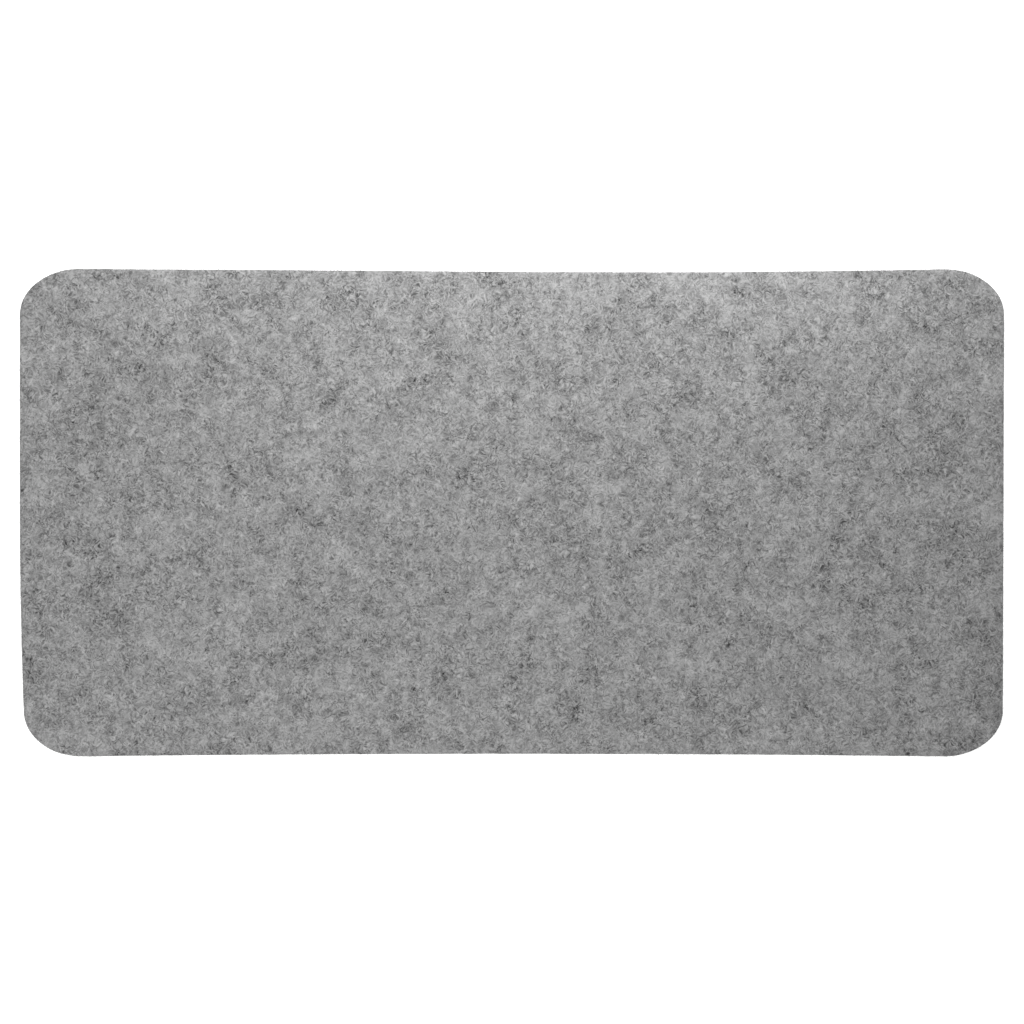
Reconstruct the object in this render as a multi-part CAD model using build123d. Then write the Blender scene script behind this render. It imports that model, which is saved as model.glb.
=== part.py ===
from build123d import *
import os

# Desk mat: a sheet of needle-punched felt, bonded by a hot-melt film to a rubber grip sheet.
# The three layers are die-cut in one stroke, so they share one outline and finish flush.
# Millimetres, +Z up. The origin lies on the desk surface, under the middle of the mat.

# Outline
length = 670.0            # along X
width = 330.0             # along Y, the mean of the width at the ends and at the waist
corner_radius = 35.0
side_bow = 1.8            # each long side's middle sits this far inside its two ends

# Layers, from the desk up
base_thickness = 1.0
film_thickness = 0.1
felt_thickness = 2.9

# Edges
felt_edge_radius = 0.5    # the felt's upper edge, rounded down by the cut
base_edge_radius = 0.2    # the rubber's lower edge, eased where it meets the desk

half_length = length / 2
waist_half_width = (width - side_bow) / 2
film_bottom = base_thickness
felt_bottom = film_bottom + film_thickness


def side_height_at(x):
    """Distance from the X axis to a long side, which is a shallow arc that bows inwards."""
    corner_start = half_length - corner_radius
    return waist_half_width + side_bow * (x / corner_start) ** 2


def mat_outline():
    """The die's outline: two bowed long sides, two straight ends and four round corners."""
    end_half_width = side_height_at(half_length)
    front_left = (-half_length, -end_half_width)
    front_right = (half_length, -end_half_width)
    back_right = (half_length, end_half_width)
    back_left = (-half_length, end_half_width)
    with BuildSketch() as outline:
        with BuildLine():
            ThreePointArc(front_left, (0, -waist_half_width), front_right)
            Line(front_right, back_right)
            ThreePointArc(back_right, (0, waist_half_width), back_left)
            Line(back_left, front_left)
        make_face()
        fillet(outline.vertices(), corner_radius)
    return outline.sketch


def layer(bottom, thickness):
    """A flat sheet of the mat's outline, resting at the given height."""
    return Pos(0, 0, bottom) * extrude(mat_outline(), thickness)


def grip_base():
    """The non-slip rubber sheet that lies on the desk."""
    sheet = layer(0, base_thickness)
    lower_rim = sheet.faces().sort_by(Axis.Z)[0].edges()
    return fillet(lower_rim, base_edge_radius)


def bonding_film():
    """The hot-melt film between the rubber and the felt."""
    return layer(film_bottom, film_thickness)


def felt_face():
    """The felt sheet that the keyboard, the mouse and the hands rest on."""
    sheet = layer(felt_bottom, felt_thickness)
    upper_rim = sheet.faces().sort_by(Axis.Z)[-1].edges()
    return fillet(upper_rim, felt_edge_radius)


pieces = {
    "grip_base": grip_base(),
    "bonding_film": bonding_film(),
    "felt_face": felt_face(),
}

os.makedirs("parts", exist_ok=True)
for name, piece in pieces.items():
    piece.label = name
    export_step(piece, f"parts/{name}.step")
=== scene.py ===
import math

import bpy
import numpy as np
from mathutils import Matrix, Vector
from mathutils.geometry import delaunay_2d_cdt


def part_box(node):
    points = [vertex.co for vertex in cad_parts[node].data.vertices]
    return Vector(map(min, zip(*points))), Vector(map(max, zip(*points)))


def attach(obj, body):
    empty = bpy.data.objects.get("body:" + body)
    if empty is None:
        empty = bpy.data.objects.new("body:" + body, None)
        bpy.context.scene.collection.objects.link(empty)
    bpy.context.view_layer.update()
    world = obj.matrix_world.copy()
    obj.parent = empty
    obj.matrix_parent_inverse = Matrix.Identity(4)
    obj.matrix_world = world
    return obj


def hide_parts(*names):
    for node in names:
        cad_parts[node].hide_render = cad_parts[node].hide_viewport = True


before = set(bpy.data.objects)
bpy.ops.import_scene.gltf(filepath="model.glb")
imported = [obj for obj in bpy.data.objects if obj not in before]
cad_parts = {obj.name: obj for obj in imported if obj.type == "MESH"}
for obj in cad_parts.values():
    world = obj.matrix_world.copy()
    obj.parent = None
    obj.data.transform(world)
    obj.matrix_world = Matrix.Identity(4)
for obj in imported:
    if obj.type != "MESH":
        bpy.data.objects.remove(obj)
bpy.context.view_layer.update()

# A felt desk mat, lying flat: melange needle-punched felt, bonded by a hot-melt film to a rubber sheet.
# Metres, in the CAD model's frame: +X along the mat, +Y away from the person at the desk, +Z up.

MM = 0.001
BODY = "root"

# ---------------------------------------------------------------- sizes

base_low, base_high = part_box("grip_base")
film_low, film_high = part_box("bonding_film")
felt_low, felt_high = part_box("felt_face")

HALF_LENGTH = felt_high.x
HALF_WIDTH = felt_high.y             # at the ends, where the mat is widest
CORNER_LENGTH = 40 * MM              # a corner's reach along the mat
CORNER_DEPTH = 31 * MM               # and across it
SIDE_BOW = 1.8 * MM                  # the long sides' middles sit this far inside their ends
CORNER_X = HALF_LENGTH - CORNER_LENGTH
CORNER_Y = HALF_WIDTH - CORNER_DEPTH

LEAN = 2.6 * MM                      # the left end leans in by this much at the front corner
TILT = 0.45 * MM                     # the right end leans out by this at the back, and in at the front
SWAY = 0.6 * MM                      # the back side sits in by this on its right half, out on its left
RIM_DROP = 0.35 * MM                 # the die presses the felt's rim down by this much
RIM_REACH = 6 * MM                   # and the rim recovers over about this distance


def side_height(x):
    """Distance from the X axis to a long side: a shallow inward bow between the corners."""
    along = np.minimum(np.abs(x), CORNER_X) / CORNER_X
    return HALF_WIDTH - SIDE_BOW * (1 - along ** 2)


def depth_inside(x, y):
    """How far a point lies inside the cut outline, measured closely only near the outline."""
    past_x = np.abs(x) - CORNER_X
    past_y = np.abs(y) - (side_height(x) - CORNER_DEPTH)
    straight = np.minimum(CORNER_LENGTH - past_x, CORNER_DEPTH - past_y)
    share = np.hypot(past_x / CORNER_LENGTH, past_y / CORNER_DEPTH)
    slope = np.hypot(past_x / CORNER_LENGTH ** 2, past_y / CORNER_DEPTH ** 2) + 1e-9
    return np.where((past_x > 0) & (past_y > 0), (1 - share) * share / slope, straight)


def relaxed(x, y):
    """Where a point of the cut sheet lies once relaxed: its ends and back are a little out of true."""
    towards_left = np.clip(-x / HALF_LENGTH, 0, 1) ** 3
    towards_right = np.clip(x / HALF_LENGTH, 0, 1) ** 3
    towards_front = np.clip(-y / CORNER_Y, 0, 1) ** 2
    towards_back = np.clip(y / CORNER_Y, -1, 1)
    along = np.clip(x / HALF_LENGTH, -1, 1)
    wave = 3.5 * along * (1 - along ** 2) ** 2
    return (
        x + LEAN * towards_left * towards_front + TILT * towards_right * towards_back,
        y - SWAY * np.maximum(towards_back, 0) * wave,
    )


# ---------------------------------------------------------------- random fields

NOISE_CELLS = 512                    # along each side of the noise's table, which then repeats
NOISE_ORIGIN = 300                   # the cell that the frame's origin falls in
CLUMP_LAYERS = ((3.0, 0.42), (5.5, 0.62), (10, 0.50), (18, 0.28), (36, 0.12), (75, 0.05))   # (mm, share)
RELIEF_LAYERS = ((90, 0.10), (35, 0.06), (12, 0.03), (5, 0.035), (2.6, 0.04))               # (mm, mm high)


def value_noise(x, y, cell, seed):
    """Smooth random values from -1 to 1 that change over about one cell, on a turned lattice."""
    rng = np.random.default_rng(seed)
    table = rng.uniform(-1, 1, (NOISE_CELLS, NOISE_CELLS))
    turn = rng.uniform(0, math.pi)
    u = (x * math.cos(turn) + y * math.sin(turn)) / cell + NOISE_ORIGIN
    v = (y * math.cos(turn) - x * math.sin(turn)) / cell + NOISE_ORIGIN
    i, j = np.floor(u).astype(int), np.floor(v).astype(int)
    a, b = u - i, v - j
    a, b = a * a * (3 - 2 * a), b * b * (3 - 2 * b)
    i0, i1 = i % NOISE_CELLS, (i + 1) % NOISE_CELLS
    j0, j1 = j % NOISE_CELLS, (j + 1) % NOISE_CELLS
    low = table[i0, j0] * (1 - a) + table[i1, j0] * a
    high = table[i0, j1] * (1 - a) + table[i1, j1] * a
    return low * (1 - b) + high * b


def layered(x, y, layers, first_seed):
    """A sum of value noises; each layer gives its cell, in millimetres, and its share."""
    return sum(
        share * value_noise(x, y, cell * MM, first_seed + k)
        for k, (cell, share) in enumerate(layers)
    )


def clumps(x, y):
    """How much dark fibre lies at a place, from about -1 to 1: the melange's clouds and clumps."""
    return layered(x, y, CLUMP_LAYERS, 11)


def felt_top(x, y):
    """Height of the felt's upper face: soft swells, needled dimples and a pressed rim."""
    relief = layered(x, y, RELIEF_LAYERS, 31) * MM
    return felt_high.z + relief - RIM_DROP * np.exp(-depth_inside(x, y) / RIM_REACH)


# ---------------------------------------------------------------- sheets

def cut_outline(spacing):
    """Evenly spaced points on the cut outline, anticlockwise, and their outward directions."""
    turn = np.linspace(0, math.pi / 2, 90)
    corner = np.stack([CORNER_X + CORNER_LENGTH * np.cos(turn), CORNER_Y + CORNER_DEPTH * np.sin(turn)], 1)
    x = np.linspace(CORNER_X, 0, 200)[1:]
    side = np.stack([x, side_height(x)], 1)
    quarter = np.concatenate([[(HALF_LENGTH, 0.0)], corner, side])
    half = np.concatenate([quarter, quarter[-2::-1] * (-1, 1)])
    loop = np.concatenate([half, half[-2::-1] * (1, -1)])
    run = np.concatenate([[0], np.cumsum(np.linalg.norm(np.diff(loop, axis=0), axis=1))])
    count = round(run[-1] / spacing)
    at = np.arange(count) * run[-1] / count
    points = np.stack([np.interp(at, run, loop[:, 0]), np.interp(at, run, loop[:, 1])], 1)
    along = np.roll(points, -1, 0) - np.roll(points, 1, 0)
    along /= np.linalg.norm(along, axis=1, keepdims=True)
    return points, np.stack([along[:, 1], -along[:, 0]], 1)


def lattice(spacing, margin, rng):
    """A jittered triangular lattice of points at least margin inside the outline."""
    columns = np.arange(-HALF_LENGTH, HALF_LENGTH, spacing)
    rows = np.arange(-HALF_WIDTH, HALF_WIDTH, spacing * math.sqrt(3) / 2)
    x = columns[None, :] + np.where(np.arange(len(rows)) % 2, spacing / 2, 0)[:, None]
    y = np.repeat(rows[:, None], len(columns), 1)
    places = np.stack([x.ravel(), y.ravel()], 1) + rng.uniform(-0.16, 0.16, (x.size, 2)) * spacing
    return places[depth_inside(places[:, 0], places[:, 1]) > margin]


def filled(rim, spacing, margin, rng):
    """Points inside a closed rim, and triangles over the rim's points and then those."""
    inside = lattice(spacing, margin, rng)
    places = [Vector(place) for place in np.concatenate([rim, inside])]
    found = delaunay_2d_cdt(places, [], [list(range(len(rim)))], 1, 1e-9)
    if len(found[0]) != len(places):
        raise ValueError("the fill added or merged points")
    return inside, found[2]


def level(height):
    """A flat face at this height."""
    return lambda x, y: np.full(len(x), height)


def new_object(name, points, faces):
    mesh = bpy.data.meshes.new(name)
    mesh.from_pydata(points.tolist(), [], faces)
    mesh.shade_smooth()
    piece = bpy.data.objects.new(name, mesh)
    bpy.context.scene.collection.objects.link(piece)
    return piece


def sheet(name, wall, top, bottom, outline_spacing, top_spacing, bottom_spacing, seed):
    """A closed sheet of the mat's outline, and where each of its points lay before the sheet relaxed.

    wall(points, outward) gives its rings of (xy, z) from the bottom up.
    top(x, y) and bottom(x, y) give the heights of its two faces.
    """
    rng = np.random.default_rng(seed)
    rings = wall(*cut_outline(outline_spacing))
    count = len(rings[0][0])
    low_inside, low_faces = filled(rings[0][0], bottom_spacing, 0.8 * bottom_spacing + 0.5 * MM, rng)
    high_inside, high_faces = filled(rings[-1][0], top_spacing, 0.7 * top_spacing + 0.9 * MM, rng)
    flat = np.concatenate([ring for ring, _ in rings] + [low_inside, high_inside])
    heights = np.concatenate([z for _, z in rings] + [bottom(*low_inside.T), top(*high_inside.T)])
    x, y = relaxed(*flat.T)
    faces = []
    for row in range(len(rings) - 1):
        for k in range(count):
            a, b = row * count + k, row * count + (k + 1) % count
            faces.append((a, b, b + count, a + count))
    low_start = len(rings) * count
    high_start = low_start + len(low_inside)
    last = low_start - count
    faces += [[k if k < count else k - count + low_start for k in reversed(face)] for face in low_faces]
    faces += [[k + last if k < count else k - count + high_start for k in face] for face in high_faces]
    return new_object(name, np.stack([x, y, heights], 1), faces), flat


# ---------------------------------------------------------------- node helpers

def new_material(name):
    material = bpy.data.materials.new(name)
    material.use_nodes = True
    return material, material.node_tree, material.node_tree.nodes["Principled BSDF"]


def feed(target, inputs):
    """Sets a node's inputs: each is given a value, or the socket that feeds it."""
    for key, value in inputs.items():
        if isinstance(value, bpy.types.NodeSocket):
            target.id_data.links.new(value, target.inputs[key])
        else:
            target.inputs[key].default_value = value


def node(tree, kind, inputs=None, **settings):
    made = tree.nodes.new("ShaderNode" + kind)
    for key, value in settings.items():
        setattr(made, key, value)
    feed(made, inputs or {})
    return made


def maths(tree, operation, a, b):
    return node(tree, "Math", {0: a, 1: b}, operation=operation).outputs[0]


def summed(tree, start, *terms):
    """start, plus value * factor for each term."""
    total = start
    for value, factor in terms:
        total = node(tree, "Math", {0: value, 1: factor, 2: total}, operation="MULTIPLY_ADD").outputs[0]
    return total


def grey_colour(tree, grey):
    return node(tree, "CombineColor", {"Red": grey, "Green": grey, "Blue": grey}).outputs[0]


def in_millimetres(tree):
    place = node(tree, "TexCoord").outputs["Object"]
    return node(tree, "VectorMath", {0: place, "Scale": 1000.0}, operation="SCALE").outputs[0]


def noise(tree, place, size, detail=0.0, roughness=0.5):
    """Cloudy noise from 0 to 1 with features about this many millimetres across."""
    inputs = {"Vector": place, "Scale": 1 / size, "Detail": detail, "Roughness": roughness}
    return node(tree, "TexNoise", inputs)


def noise_value(tree, place, size, detail=0.0, roughness=0.5):
    return noise(tree, place, size, detail, roughness).outputs["Fac"]


def centred(tree, value):
    return maths(tree, "SUBTRACT", value, 0.5)


def bent(tree, place, size, reach):
    """The place, pushed sideways by a noise, so that straight patterns curl."""
    push = noise(tree, place, size).outputs["Color"]
    push = node(tree, "VectorMath", {0: push, 1: (0.5, 0.5, 0.5)}, operation="SUBTRACT").outputs[0]
    push = node(tree, "VectorMath", {0: push, "Scale": reach}, operation="SCALE").outputs[0]
    return node(tree, "VectorMath", {0: place, 1: push}, operation="ADD").outputs[0]


def streaks(tree, place, length, width, angle, start, full):
    """Separate strokes, 0 to 1, of this length and width in millimetres, along a direction in the sheet."""
    turn = {"Vector": place, "Angle": angle}
    turned = node(tree, "VectorRotate", turn, rotation_type="Z_AXIS").outputs[0]
    stretch = (1 / length, 1 / width, 1 / width)
    stretched = node(tree, "VectorMath", {0: turned, 1: stretch}, operation="MULTIPLY").outputs[0]
    inputs = {"Value": noise_value(tree, stretched, 1.0), "From Min": start, "From Max": full}
    return node(tree, "MapRange", inputs, interpolation_type="SMOOTHSTEP").outputs[0]


def all_ways(tree, place, ways, first, **stroke):
    """The strongest of several directions of streaks."""
    strongest = None
    for k in range(ways):
        shift = (31.0 * k + first, 17.0 * k, 9.0 * k)
        shifted = node(tree, "VectorMath", {0: place, 1: shift}, operation="ADD").outputs[0]
        layer = streaks(tree, shifted, angle=math.pi * (k + 0.3) / ways + first, **stroke)
        strongest = layer if strongest is None else maths(tree, "MAXIMUM", strongest, layer)
    return strongest


# ---------------------------------------------------------------- materials

FELT_GREY = 0.199                    # the felt's colour where no strand or clump shows


def felt_material():
    """Melange felt: grey needled fibre with darker and lighter strands, gathered in clumps."""
    material, tree, shader = new_material("melange_felt")
    place = in_millimetres(tree)
    clump = node(tree, "Attribute", attribute_name="clump").outputs["Fac"]
    curled = bent(tree, place, 5.0, 5.0)

    dark = all_ways(tree, curled, 6, 1.3, length=4.9, width=1.28, start=0.50, full=0.76)
    light = all_ways(tree, curled, 6, 7.1, length=4.5, width=1.24, start=0.50, full=0.77)
    fine_dark = all_ways(tree, curled, 5, 3.9, length=3.3, width=1.1, start=0.52, full=0.8)
    specks = all_ways(tree, curled, 4, 5.3, length=2.5, width=1.3, start=0.58, full=0.8)
    mottle = centred(tree, noise_value(tree, place, 4.4, detail=2.0))
    grain = centred(tree, noise_value(tree, place, 1.5))

    dark_share = node(tree, "Clamp", {"Value": summed(tree, 0.62, (clump, 0.34))}).outputs[0]
    gathered = maths(tree, "MULTIPLY", dark, dark_share)
    strokes = summed(tree, 0.0, (light, 0.61), (specks, 0.29), (gathered, -0.665), (fine_dark, -0.17))
    crispness = summed(tree, 1.0, (centred(tree, noise_value(tree, place, 6.5)), 1.0))
    crisp_strokes = maths(tree, "MULTIPLY", strokes, crispness)
    tone = summed(tree, 1.0, (clump, -0.15), (mottle, 0.58), (grain, 0.1), (crisp_strokes, 1.0))
    height = summed(tree, 0.0, (light, 0.5), (fine_dark, 0.35), (grain, 1.4))
    bump = node(tree, "Bump", {"Height": height, "Strength": 0.35, "Distance": 0.12 * MM})
    feed(shader, {
        "Base Color": grey_colour(tree, maths(tree, "MULTIPLY", tone, FELT_GREY)),
        "Roughness": summed(tree, 0.86, (mottle, 0.2)),
        "Specular IOR Level": 0.18,
        "Sheen Weight": 0.12,
        "Sheen Roughness": 0.6,
        "Normal": bump.outputs[0],
    })
    return material


def fibre_material(name, dark, pale):
    """Loose polyester fibre, its grey drifting from strand to strand and along each one."""
    material, tree, shader = new_material(name)
    place = in_millimetres(tree)
    drift = noise_value(tree, place, 4.0, detail=1.0)
    inputs = {"Value": drift, "From Min": 0.3, "From Max": 0.7, "To Min": dark, "To Max": pale}
    grey = node(tree, "MapRange", inputs).outputs[0]
    feed(shader, {
        "Base Color": grey_colour(tree, grey),
        "Roughness": summed(tree, 0.7, (noise_value(tree, place, 0.7), 0.2)),
        "Specular IOR Level": 0.25,
        "Sheen Weight": 0.1,
    })
    return material


def film_material():
    """Hot-melt adhesive: a milky, slightly glossy film with trapped bubbles."""
    material, tree, shader = new_material("hot_melt_film")
    place = in_millimetres(tree)
    milk = noise_value(tree, place, 3.0, detail=2.0)
    bubbles = node(tree, "TexVoronoi", {"Vector": place, "Scale": 1.3}).outputs["Distance"]
    tone = summed(tree, 0.36, (milk, 0.2), (bubbles, 0.05))
    warm = maths(tree, "MULTIPLY", tone, 0.93)
    feed(shader, {
        "Base Color": node(tree, "CombineColor", {"Red": tone, "Green": tone, "Blue": warm}).outputs[0],
        "Roughness": summed(tree, 0.3, (milk, 0.2)),
    })
    return material


def rubber_material():
    """Natural rubber: near-black, matt, with dust in the pores and a faint bloom."""
    material, tree, shader = new_material("grip_rubber")
    place = in_millimetres(tree)
    bloom = noise_value(tree, place, 18.0, detail=3.0, roughness=0.6)
    pores = noise_value(tree, place, 0.35, detail=2.0)
    bump = node(tree, "Bump", {"Height": pores, "Strength": 0.3, "Distance": 0.05 * MM})
    feed(shader, {
        "Base Color": grey_colour(tree, summed(tree, 0.012, (bloom, 0.026), (pores, 0.012))),
        "Roughness": summed(tree, 0.55, (bloom, 0.3)),
        "Specular IOR Level": 0.35,
        "Normal": bump.outputs[0],
    })
    return material


def stage_material(name, inputs):
    material, _, shader = new_material(name)
    feed(shader, inputs)
    return material


# ---------------------------------------------------------------- pieces

# The felt's cut wall: (share of the height, millimetres inside the outline), from the bottom up
FELT_PROFILE = (
    (0.0, 0.0), (0.15, -0.2), (0.4, -0.3), (0.62, -0.28), (0.8, -0.18), (0.92, 0.05), (0.98, 0.38),
)


def felt_wall(points, outward):
    """Rings of the felt's cut wall: a little ragged, swollen in the middle and rounded over at the top."""
    x, y = points.T
    wavy = 0.08 * value_noise(x, y, 7 * MM, 52)
    rings = []
    for share, inset in FELT_PROFILE:
        ragged = 0.10 * value_noise(x + share * 9 * MM, y, 1.6 * MM, 51)
        ring = points - outward * ((inset + ragged + wavy) * MM)[:, None]
        top = felt_top(*ring.T)
        rings.append((ring, felt_low.z + share * (top - felt_low.z)))
    rim = points - outward * 0.95 * MM
    rings.append((rim, felt_top(*rim.T)))
    return rings


def felt_sheet():
    piece, flat = sheet(
        "felt_sheet", felt_wall, top=felt_top, bottom=level(felt_low.z),
        outline_spacing=1.25 * MM, top_spacing=1.78 * MM, bottom_spacing=25 * MM, seed=1,
    )
    clump = piece.data.attributes.new("clump", "FLOAT", "POINT")
    clump.data.foreach_set("value", clumps(*flat.T).astype(np.float32))
    piece.data.materials.append(felt_material())
    return piece


def film_wall(points, outward):
    """Two rings of the film's edge, which squeezes in and out of the joint a little."""
    squeeze = 0.07 * value_noise(*points.T, 3 * MM, 61) - 0.02
    ring = points + outward * (squeeze * MM)[:, None]
    return [(ring, np.full(len(ring), film_low.z)), (ring, np.full(len(ring), film_high.z))]


def adhesive_film():
    piece, _ = sheet(
        "adhesive_film", film_wall, top=level(film_high.z), bottom=level(film_low.z),
        outline_spacing=1.5 * MM, top_spacing=12 * MM, bottom_spacing=12 * MM, seed=2,
    )
    piece.data.materials.append(film_material())
    return piece


GRIP_PITCH = 9 * MM
GRIP_DEPTH = 0.3 * MM


def grip_relief(x, y):
    """The rubber's underside: crossed diagonal grooves leave flat diamond studs standing on the desk."""
    wave = np.cos(math.pi * (x + y) / GRIP_PITCH) * np.cos(math.pi * (x - y) / GRIP_PITCH)
    return base_low.z + GRIP_DEPTH * np.clip(0.5 - 0.8 * wave, 0, 1)


def base_wall(points, outward):
    """Rings of the rubber's cut wall, its lower edge eased."""
    rings = []
    for share, inset in ((0.0, 0.22), (0.1, 0.06), (0.3, 0.0), (0.7, 0.0), (1.0, 0.03)):
        ragged = 0.03 * value_noise(points[:, 0] + share * 5 * MM, points[:, 1], 4 * MM, 71)
        ring = points - outward * ((inset + ragged) * MM)[:, None]
        rings.append((ring, np.full(len(ring), base_low.z + share * (base_high.z - base_low.z))))
    return rings


def grip_rubber():
    piece, _ = sheet(
        "grip_rubber", base_wall, top=level(base_high.z), bottom=grip_relief,
        outline_spacing=1.4 * MM, top_spacing=25 * MM, bottom_spacing=1.8 * MM, seed=3,
    )
    piece.data.materials.append(rubber_material())
    return piece


def strands(name, places, length, radius, lift, curl, steps, seed):
    """Loose fibres as closed, tapered tubes that lie curled on the felt.

    places are their middles. Each rises by its lift in the middle, and its ends sink into the felt.
    """
    rng = np.random.default_rng(seed)
    count = len(places)
    reach = rng.uniform(*length, count)
    heading = rng.uniform(0, 2 * math.pi, count)
    bend, wobble = rng.normal(0, curl, count), rng.normal(0, curl * 0.7, count)
    phase = rng.uniform(0, 2 * math.pi, count)
    along = np.linspace(-0.5, 0.5, steps + 1)[None, :]
    angle = heading[:, None] + bend[:, None] * along + wobble[:, None] * np.sin(5 * along + phase[:, None])
    step = (reach / steps)[:, None]
    x = np.cumsum(np.cos(angle) * step, 1)
    y = np.cumsum(np.sin(angle) * step, 1)
    x += places[:, :1] - x[:, steps // 2][:, None]
    y += places[:, 1:] - y[:, steps // 2][:, None]
    rise = rng.uniform(*lift, count)[:, None]
    sink = rng.uniform(0.1 * MM, 0.3 * MM, count)[:, None]
    z = felt_top(x, y) + rise * np.cos(math.pi * along) - sink * (1 - np.cos(math.pi * along))
    thick = rng.uniform(*radius, count)[:, None] * np.cos(math.pi * along * 0.9) ** 0.5
    lines = np.stack([*relaxed(x, y), z], 2)
    side = np.stack([-np.sin(angle), np.cos(angle), np.zeros_like(angle)], 2)
    return tubes(name, lines, side, thick)


def tubes(name, lines, side, thick):
    """Closed three-sided tubes along the lines, pointed at both ends, with their flat side down."""
    count, points, _ = lines.shape
    up = np.array([0.0, 0.0, 1.0])
    corners = []
    for turn in (math.pi / 2, math.pi * 7 / 6, math.pi * 11 / 6):
        offset = side * math.cos(turn) + up * math.sin(turn)
        corners.append(lines[:, 1:-1] + offset[:, 1:-1] * thick[:, 1:-1, None])
    rings = np.stack(corners, 2).reshape(count, -1, 3)
    places = np.concatenate([lines[:, :1], rings, lines[:, -1:]], 1)
    pattern = []
    for k in range(3):
        n = (k + 1) % 3
        pattern.append((0, 1 + n, 1 + k))
        for ring in range(points - 3):
            a, b = 1 + 3 * ring + k, 1 + 3 * ring + n
            pattern.append((a, b, b + 3, a + 3))
        end = 1 + 3 * (points - 2)
        pattern.append((end, end - 3 + k, end - 3 + n))
    each = places.shape[1]
    faces = [tuple(i + each * k for i in face) for k in range(count) for face in pattern]
    return new_object(name, places.reshape(-1, 3), faces)


def edge_hairs(name, count, length, radius, steps, seed):
    """Fine hairs that stand out from the felt's cut wall and its rim, curling as they go."""
    rng = np.random.default_rng(seed)
    points, outward = cut_outline(1.25 * MM)
    pick = rng.integers(0, len(points), count)
    away = outward[pick]
    beside = np.stack([-away[:, 1], away[:, 0]], 1)
    root = points[pick] + beside * rng.uniform(-0.7, 0.7, (count, 1)) * MM - away * 0.25 * MM
    share = rng.uniform(0.08, 0.97, count)
    low = felt_low.z
    height = low + share * (felt_top(*root.T) - low)
    reach = rng.uniform(*length, count)
    heading, turn = rng.uniform(-1.2, 1.2, count), rng.normal(0, 1.1, count)
    pitch, nod = rng.uniform(-0.5, 0.75, count), rng.normal(0, 0.6, count)
    run = np.linspace(0, 1, steps + 1)[None, :]
    angle = heading[:, None] + turn[:, None] * run
    climb = pitch[:, None] + nod[:, None] * run
    step = (reach / steps)[:, None]
    out = np.cumsum(np.cos(angle) * np.cos(climb) * step, 1)
    across = np.cumsum(np.sin(angle) * np.cos(climb) * step, 1)
    up = np.cumsum(np.sin(climb) * step, 1)
    x = root[:, :1] + away[:, :1] * out + beside[:, :1] * across
    y = root[:, 1:] + away[:, 1:] * out + beside[:, 1:] * across
    z = np.maximum(height[:, None] + up, low - 0.4 * MM)
    lines = np.stack([*relaxed(x, y), z], 2)
    side = away[:, None, :] * -np.sin(angle)[:, :, None] + beside[:, None, :] * np.cos(angle)[:, :, None]
    side = np.concatenate([side, np.zeros((count, steps + 1, 1))], 2)
    thick = rng.uniform(*radius, count)[:, None] * (1 - 0.7 * run)
    return tubes(name, lines, side, thick)


def scattered(count, bias, seed):
    """Places on the felt, denser where bias(x, y), from 0 to 1, is higher."""
    rng = np.random.default_rng(seed)
    tries = rng.uniform((-HALF_LENGTH, -HALF_WIDTH), (HALF_LENGTH, HALF_WIDTH), (count * 12, 2))
    x, y = tries.T
    keep = (depth_inside(x, y) > 1.5 * MM) & (rng.uniform(0, 1, len(tries)) < bias(x, y))
    return tries[keep][:count]


def in_dark_clumps(x, y):
    return np.clip(0.28 + 0.75 * clumps(x, y), 0.02, 1)


def in_light_clumps(x, y):
    return np.clip(0.4 - 0.5 * clumps(x, y), 0.05, 1)


def anywhere(x, y):
    return np.full(len(x), 0.6)


def fibre_pieces():
    dark = strands(
        "dark_strands", scattered(6500, in_dark_clumps, 101), length=(3 * MM, 8 * MM),
        radius=(0.05 * MM, 0.12 * MM), lift=(0.02 * MM, 0.1 * MM), curl=1.6, steps=6, seed=102,
    )
    dark.data.materials.append(fibre_material("dark_fibre", 0.08, 0.14))
    pale = strands(
        "pale_strands", scattered(6500, in_light_clumps, 111), length=(3 * MM, 9 * MM),
        radius=(0.05 * MM, 0.11 * MM), lift=(0.02 * MM, 0.12 * MM), curl=1.7, steps=6, seed=112,
    )
    pale.data.materials.append(fibre_material("pale_fibre", 0.24, 0.33))
    fuzz = strands(
        "surface_fuzz", scattered(7500, anywhere, 121), length=(1.5 * MM, 4 * MM),
        radius=(0.025 * MM, 0.045 * MM), lift=(0.25 * MM, 0.7 * MM), curl=1.5, steps=5, seed=122,
    )
    fuzz_fibre = fibre_material("fuzz_fibre", 0.16, 0.30)
    fuzz.data.materials.append(fuzz_fibre)
    edge = edge_hairs(
        "edge_fuzz", 9000, length=(0.7 * MM, 2.2 * MM), radius=(0.022 * MM, 0.04 * MM), steps=4, seed=131,
    )
    edge.data.materials.append(fuzz_fibre)
    return [dark, pale, fuzz, edge]


# ---------------------------------------------------------------- build

base = grip_rubber()
film = adhesive_film()
felt = felt_sheet()
fibres = fibre_pieces()

for piece, slot_name in ((base, "grip_rubber"), (film, "hot_melt_film"), (felt, "melange_felt")):
    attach(piece, BODY)
for piece in fibres:
    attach(piece, BODY)
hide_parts("grip_base")
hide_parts("bonding_film")
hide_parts("felt_face")


# ---------------------------------------------------------------- stage

WHITE = (1, 1, 1, 1)
FLOOR_SIZE = 30
FLOOR_GAP = 0.02 * MM                # keeps the floor just clear of the rubber
BACKDROP_RADIUS = 14


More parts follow.
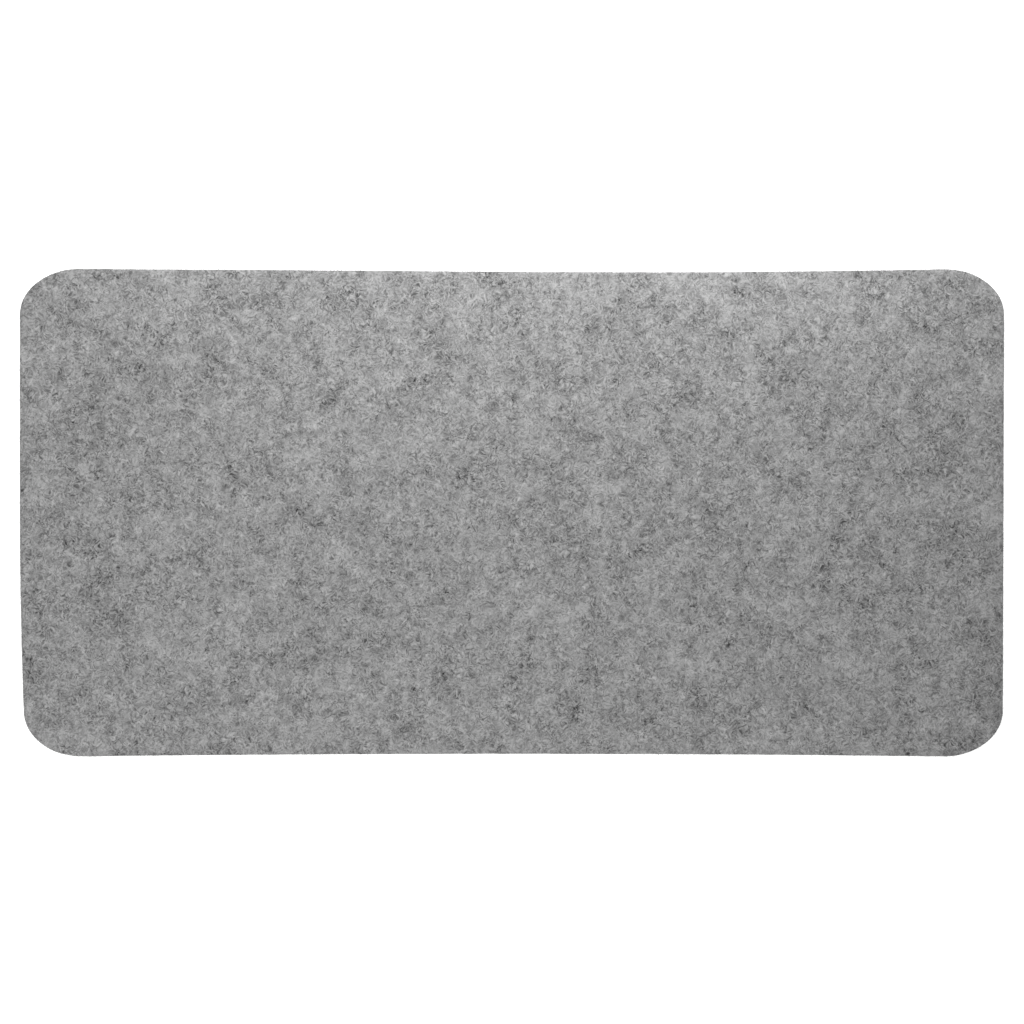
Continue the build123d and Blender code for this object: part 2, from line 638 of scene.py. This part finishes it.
def add_floor():
    bpy.ops.mesh.primitive_plane_add(size=FLOOR_SIZE, location=(0, 0, base_low.z - FLOOR_GAP))
    floor = bpy.context.object
    floor.name = "floor"
    floor.data.materials.append(stage_material("white_floor", {
        "Base Color": (0.9, 0.9, 0.9, 1),
        "Roughness": 0.9,
        "Specular IOR Level": 0.1,
        "Emission Color": WHITE,
        "Emission Strength": 0.65,
    }))


def add_backdrop():
    """A white dome that only the camera sees, so that low views have no horizon. It lights nothing."""
    bpy.ops.mesh.primitive_uv_sphere_add(segments=64, ring_count=32, radius=BACKDROP_RADIUS)
    backdrop = bpy.context.object
    backdrop.name = "backdrop"
    backdrop.visible_diffuse = False
    backdrop.visible_glossy = False
    backdrop.visible_transmission = False
    backdrop.visible_shadow = False
    backdrop.data.materials.append(stage_material("white_backdrop", {
        "Base Color": (0, 0, 0, 1),
        "Specular IOR Level": 0,
        "Emission Color": WHITE,
        "Emission Strength": 1.15,
    }))


def add_flags():
    """Low black cards beyond both ends keep some of the light off them. No camera sees the cards."""
    card = stage_material("black_card", {"Base Color": (0.01, 0.01, 0.01, 1), "Roughness": 1.0})
    for name, x, height in (
        ("right_flag", HALF_LENGTH + 0.08, 0.073),
        ("left_flag", -HALF_LENGTH - 0.06, 0.032),
    ):
        bpy.ops.mesh.primitive_plane_add(size=1, location=(x, 0, height / 2), rotation=(0, math.pi / 2, 0))
        flag = bpy.context.object
        flag.name = name
        flag.scale = (height, 0.6, 1)
        flag.visible_camera = False
        flag.data.materials.append(card)


def add_softbox(name, place, target, size, power):
    light = bpy.data.lights.new(name, "AREA")
    light.shape = "RECTANGLE"
    light.size, light.size_y = size
    light.energy = power
    lamp = bpy.data.objects.new(name, light)
    lamp.location = place
    lamp.rotation_euler = (Vector(target) - Vector(place)).to_track_quat("-Z", "Y").to_euler()
    lamp.visible_camera = False
    bpy.context.scene.collection.objects.link(lamp)


def add_lights():
    world = bpy.data.worlds.new("studio")
    world.use_nodes = True
    feed(world.node_tree.nodes["Background"], {"Color": WHITE, "Strength": 0.85})
    bpy.context.scene.world = world
    add_softbox("key", place=(-0.2, 0.0, 0.36), target=(-0.05, 0, 0), size=(1.0, 0.7), power=1.1)
    add_softbox(
        "back_strip", place=(0.09, 0.36, 0.2), target=(0.09, 0.359, 0), size=(0.56, 0.05), power=1.69,
    )


LENS = 85.0
SENSOR = 36.0
FRAME_WIDTH = 0.6976                 # what the camera sees at the height of the felt
CAMERA_OVER = (0.22 * MM, 0.5 * MM)


def add_camera():
    data = bpy.data.cameras.new("camera")
    data.lens = LENS
    data.sensor_width = SENSOR
    camera = bpy.data.objects.new("camera", data)
    camera.location = (*CAMERA_OVER, felt_high.z + FRAME_WIDTH * LENS / SENSOR)
    bpy.context.scene.collection.objects.link(camera)
    bpy.context.scene.camera = camera


add_floor()
add_backdrop()
add_flags()
add_lights()
add_camera()
bpy.context.scene.view_settings.view_transform = "Standard"
